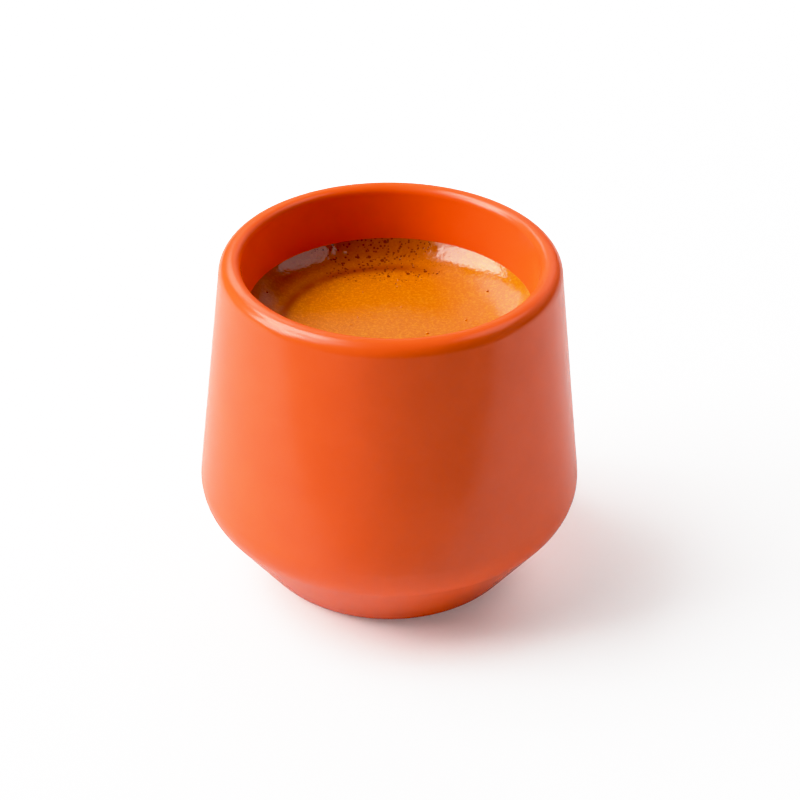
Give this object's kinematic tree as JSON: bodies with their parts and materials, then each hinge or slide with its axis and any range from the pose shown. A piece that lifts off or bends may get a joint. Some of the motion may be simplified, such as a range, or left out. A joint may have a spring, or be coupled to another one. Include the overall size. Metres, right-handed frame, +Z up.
{
  "type": "espresso shot",
  "caption": "Espresso with a golden crema in a small thick-walled ceramic cup with no handle, widest low on its body, standing on a narrow foot.",
  "frame": {"origin": "centre of the resting plane, under the middle of the foot", "axes": "+Z up along the cup's axis of revolution, from the foot to the lip; X and Y lie in the plane of the table"},
  "size_m": [0.0674, 0.0674, 0.0612],
  "materials": {
    "glaze": "satin",
    "crema": "gloss"
  },
  "bodies": {
    "root": {"cup": "glaze", "espresso": "crema"}
  },
  "joints": []
}
